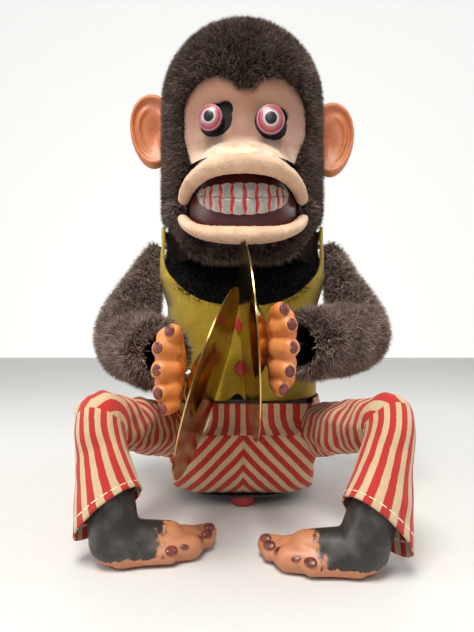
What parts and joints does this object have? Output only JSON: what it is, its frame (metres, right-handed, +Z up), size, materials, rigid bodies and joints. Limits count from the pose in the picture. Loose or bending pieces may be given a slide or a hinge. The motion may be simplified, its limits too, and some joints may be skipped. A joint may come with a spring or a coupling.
{
  "type": "clockwork cymbal monkey",
  "caption": "Seated clockwork toy monkey with plush skin, felt waistcoat and striped trousers, clapping a pair of thin brass cymbals.",
  "frame": {"origin": "centre of the footprint, on the surface that the toy sits on", "axes": "+Z up; the face looks along -Y; the toy's right hand is at -X"},
  "size_m": [0.167, 0.1949, 0.2625],
  "materials": {
    "red_rubber": "matt",
    "grey_tin": "satin",
    "base_tin": "satin",
    "brown_plush": "long pile",
    "black_plush": "short pile",
    "yellow_felt": "napped",
    "red_plastic": "gloss",
    "striped_cotton": "woven, red and cream stripes",
    "peach_felt": "napped",
    "maroon": "satin",
    "teeth_white": "printed, satin",
    "eye_paint": "gloss, ringed",
    "flesh_vinyl": "soft vinyl",
    "foot_vinyl": "soft vinyl, black painted",
    "brass": "bright, a little worn",
    "steel": "plain",
    "spring_steel": "blued",
    "gear_brass": "plain",
    "zinc_plate": "zinc plated"
  },
  "bodies": {
    "body": {"base_tray": "base_tin", "rubber_feet": "red_rubber", "shell_front": "grey_tin", "shell_rear": "grey_tin", "torso_plush": "black_plush", "vest": "yellow_felt", "vest_buttons": "red_plastic", "motor_plate_front": "zinc_plate", "motor_plate_rear": "zinc_plate", "plate_pillars": "steel", "plate_screws": "steel", "mainspring": "spring_steel", "guide_studs": "steel", "shoulder_bracket": "zinc_plate", "neck_tube": "steel", "trousers_seat": "striped_cotton", "trouser_leg_right": "striped_cotton", "trouser_leg_left": "striped_cotton", "leg_wire_right": "steel", "leg_wire_left": "steel", "foot_right": "foot_vinyl", "foot_left": "foot_vinyl"},
    "key": {"key_arbor": "steel", "ratchet_wheel": "steel", "winding_key": "zinc_plate"},
    "great_wheel": {"great_wheel": "gear_brass"},
    "second_shaft": {"second_arbor": "steel", "second_wheel": "gear_brass"},
    "crank_shaft": {"crank_arbor": "steel", "crank_disc": "steel", "governor_wheel": "gear_brass"},
    "governor": {"governor_fly": "steel"},
    "stop_lever": {"stop_lever": "zinc_plate"},
    "slider": {"clap_slider": "zinc_plate"},
    "right_arm": {"arm_wire_right": "steel", "sleeve_right": "brown_plush", "hand_right": "flesh_vinyl", "cymbal_right": "brass", "cymbal_clip_right": "steel"},
    "left_arm": {"arm_wire_left": "steel", "sleeve_left": "brown_plush", "hand_left": "flesh_vinyl", "cymbal_left": "brass", "cymbal_clip_left": "steel"},
    "head": {"skull_front": "grey_tin", "skull_rear": "grey_tin", "head_plush": "brown_plush", "face_mask": "peach_felt", "mouth_bowl": "maroon", "teeth_plate": "teeth_white", "head_frame": "zinc_plate", "head_post": "steel", "head_spring": "spring_steel", "ear_right": "flesh_vinyl", "ear_left": "flesh_vinyl"},
    "upper_lip": {"upper_lip": "peach_felt"},
    "lower_lip": {"lower_lip": "peach_felt"},
    "eyes": {"eye_right": "eye_paint", "eye_left": "eye_paint", "eye_yoke": "zinc_plate"}
  },
  "joints": [
    {"name": "key_turn", "type": "hinge", "parent": "body", "child": "key", "pos_m": [0, 0.0705, 0.06], "axis": [0, 1, 0], "continuous": true},
    {"name": "great_wheel_turn", "type": "hinge", "parent": "body", "child": "great_wheel", "pos_m": [0, 0.0485, 0.06], "axis": [0, 1, 0], "continuous": true},
    {"name": "second_shaft_turn", "type": "hinge", "parent": "body", "child": "second_shaft", "pos_m": [-0.014, 0.0435, 0.081], "axis": [0, 1, 0], "continuous": true},
    {"name": "crank_shaft_turn", "type": "hinge", "parent": "body", "child": "crank_shaft", "pos_m": [0, 0.0385, 0.0923], "axis": [0, 1, 0], "continuous": true},
    {"name": "governor_turn", "type": "hinge", "parent": "body", "child": "governor", "pos_m": [0.0096, 0.0395, 0.0995], "axis": [0, 1, 0], "continuous": true},
    {"name": "stop_lever_slide", "type": "slide", "parent": "body", "child": "stop_lever", "axis": [1, 0, 0], "range_m": [0, 0.006]},
    {"name": "left_arm_swing", "type": "hinge", "parent": "body", "child": "left_arm", "pos_m": [0.028, 0.0405, 0.136], "axis": [0, -1, 0], "range_deg": [0, 5]},
    {"name": "right_arm_swing", "type": "hinge", "parent": "body", "child": "right_arm", "pos_m": [-0.028, 0.0405, 0.136], "axis": [0, 1, 0], "range_deg": [0, 5]},
    {"name": "clap_slide", "type": "slide", "parent": "body", "child": "slider", "axis": [0, 0, -1], "range_m": [0, 0.00203]},
    {"name": "head_press", "type": "slide", "parent": "body", "child": "head", "axis": [0, 0, -1], "range_m": [0, 0.004], "stiffness_N_per_m": 700, "springref_m": -0.002, "deforming": ["head_spring"]},
    {"name": "lower_lip_swing", "type": "hinge", "parent": "head", "child": "lower_lip", "pos_m": [0, 0.0055, 0.146], "axis": [-1, 0, 0], "range_deg": [0, 8.7]},
    {"name": "upper_lip_swing", "type": "hinge", "parent": "head", "child": "upper_lip", "pos_m": [0, 0.0055, 0.146], "axis": [1, 0, 0], "range_deg": [0, 8.7]},
    {"name": "eyes_slide", "type": "slide", "parent": "head", "child": "eyes", "axis": [0, 1, 0], "range_m": [0, 0.0029]}
  ],
  "couplings": [
    {"joint": "second_shaft_turn", "follows": "great_wheel_turn", "ratio": -5},
    {"joint": "crank_shaft_turn", "follows": "great_wheel_turn", "ratio": 20},
    {"joint": "governor_turn", "follows": "great_wheel_turn", "ratio": -60},
    {"joint": "right_arm_swing", "follows": "left_arm_swing", "ratio": 1},
    {"joint": "clap_slide", "follows": "left_arm_swing", "m_per_rad": 0.021},
    {"joint": "upper_lip_swing", "follows": "lower_lip_swing", "ratio": 1},
    {"joint": "eyes_slide", "follows": "lower_lip_swing", "m_per_rad": 0.019079}
  ]
}
